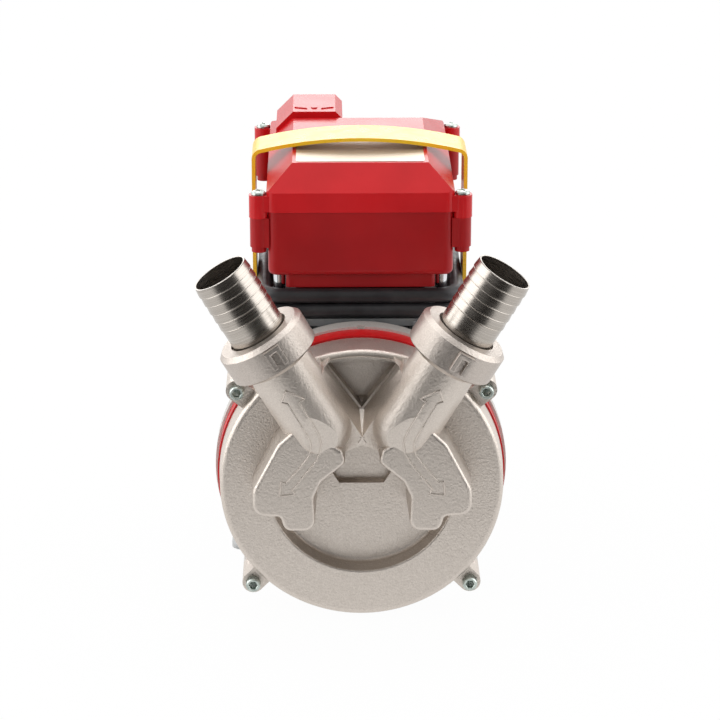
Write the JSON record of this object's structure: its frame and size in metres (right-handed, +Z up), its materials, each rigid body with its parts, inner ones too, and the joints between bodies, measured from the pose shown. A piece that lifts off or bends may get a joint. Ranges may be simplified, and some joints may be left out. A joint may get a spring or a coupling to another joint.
{
  "type": "electric transfer pump",
  "caption": "Self-priming electric transfer pump: cast head with two upward hose tails, finned motor on a foot, control box with strap handle and wound cord on top.",
  "frame": {"origin": "on the floor, at the middle of the four foot bolt holes", "axes": "+Z up, +Y from the pump head back along the shaft to the fan, +X to the right seen from the front cover"},
  "size_m": [0.2158, 0.3691, 0.3145],
  "materials": {
    "cast_head": "bead-blasted casting, matt",
    "cast_nut": "bead-blasted casting, matt",
    "red_metal": "satin paint",
    "tail_steel": "turned and polished",
    "zinc_steel": "bright zinc plate",
    "motor_paint": "satin paint on a casting",
    "cowl_paint": "satin paint on pressed sheet",
    "post_chrome": "bright plate",
    "box_red": "gloss moulding",
    "lid_red": "gloss moulding",
    "plate_silver": "satin",
    "strap_yellow": "soft satin",
    "cord_black": "soft sheen",
    "black_plastic": "fine texture",
    "pin_brass": "nickel plate",
    "seal_rubber": "matt",
    "impeller_brass": "machined",
    "shaft_steel": "ground",
    "bearing_steel": "ground",
    "seal_carbon": "lapped",
    "seal_ceramic": "lapped",
    "core_steel": "laminated",
    "cage_aluminium": "die cast",
    "winding_copper": "varnished copper wire",
    "fan_plastic": "moulded",
    "capacitor_plastic": "moulded",
    "clamp_steel": "zinc plate"
  },
  "bodies": {
    "root": {"front_cover": "cast_head", "rear_flange": "cast_head", "chamber_ring": "red_metal", "cover_screws": "zinc_steel", "tie_rods": "zinc_steel", "fan_cowl_screws": "zinc_steel", "saddle_bolts": "zinc_steel", "post_screws": "zinc_steel", "lid_screws": "zinc_steel", "strap_screws": "zinc_steel", "motor_casing": "motor_paint", "rear_end_shield": "motor_paint", "fan_cowl": "cowl_paint", "foot_plate": "cowl_paint", "box_posts": "post_chrome", "box_base": "box_red", "box_lid": "lid_red", "rating_plate": "plate_silver", "strap_handle": "strap_yellow", "cord_lead": "cord_black", "cord_winding": "cord_black", "cord_tail": "cord_black", "plug": "cord_black", "cable_gland": "black_plastic", "gland_nut": "black_plastic", "gland_locknut": "black_plastic", "wire_duct": "black_plastic", "switch_body": "black_plastic", "terminal_block": "black_plastic", "plug_pins": "pin_brass", "cover_gasket": "seal_rubber", "port_gaskets": "seal_rubber", "lid_gasket": "seal_rubber", "bearing_preload_washer": "shaft_steel", "front_bearing_outer_ring": "bearing_steel", "rear_bearing_outer_ring": "bearing_steel", "seal_seat": "seal_ceramic", "stator_core": "core_steel", "stator_windings": "winding_copper", "capacitor": "capacitor_plastic", "capacitor_clamp": "clamp_steel"},
    "rotor": {"impeller": "impeller_brass", "impeller_nut": "shaft_steel", "impeller_key": "shaft_steel", "shaft": "shaft_steel", "seal_head": "seal_carbon", "seal_spring": "shaft_steel", "front_bearing_inner_ring": "bearing_steel", "front_bearing_balls": "bearing_steel", "rear_bearing_inner_ring": "bearing_steel", "rear_bearing_balls": "bearing_steel", "rotor_core": "core_steel", "rotor_end_rings": "cage_aluminium", "cooling_fan": "fan_plastic"},
    "switch": {"switch_shaft": "black_plastic", "switch_knob": "black_plastic"},
    "hose_tail_left": {"hose_tail_left": "tail_steel"},
    "union_nut_left": {"union_nut_left": "cast_nut"},
    "hose_tail_right": {"hose_tail_right": "tail_steel"},
    "union_nut_right": {"union_nut_right": "cast_nut"}
  },
  "joints": [
    {"name": "rotor_spin", "type": "hinge", "parent": "root", "child": "rotor", "pos_m": [0, -0.1411, 0.102], "axis": [0, 1, 0], "continuous": true},
    {"name": "switch_turn", "type": "hinge", "parent": "root", "child": "switch", "pos_m": [-0.0345, 0.0675, 0.289], "axis": [0, 1, 0], "range_deg": [-60, 60]},
    {"name": "hose_tail_left_lift", "type": "slide", "parent": "root", "child": "hose_tail_left", "axis": [-0.5083, -0.0523, 0.8596], "range_m": [0, 0.012]},
    {"name": "union_nut_left_turn", "type": "hinge", "parent": "hose_tail_left", "child": "union_nut_left", "pos_m": [-0.06202, -0.18979, 0.20687], "axis": [-0.5083, -0.0523, 0.8596], "range_deg": [0, 1800]},
    {"name": "hose_tail_right_lift", "type": "slide", "parent": "root", "child": "hose_tail_right", "axis": [0.5083, -0.0523, 0.8596], "range_m": [0, 0.012]},
    {"name": "union_nut_right_turn", "type": "hinge", "parent": "hose_tail_right", "child": "union_nut_right", "pos_m": [0.06202, -0.18979, 0.20687], "axis": [0.5083, -0.0523, 0.8596], "range_deg": [0, 1800]}
  ],
  "couplings": [
    {"joint": "hose_tail_left_lift", "follows": "union_nut_left_turn", "m_per_rad": 0.00036749},
    {"joint": "hose_tail_right_lift", "follows": "union_nut_right_turn", "m_per_rad": 0.00036749}
  ]
}
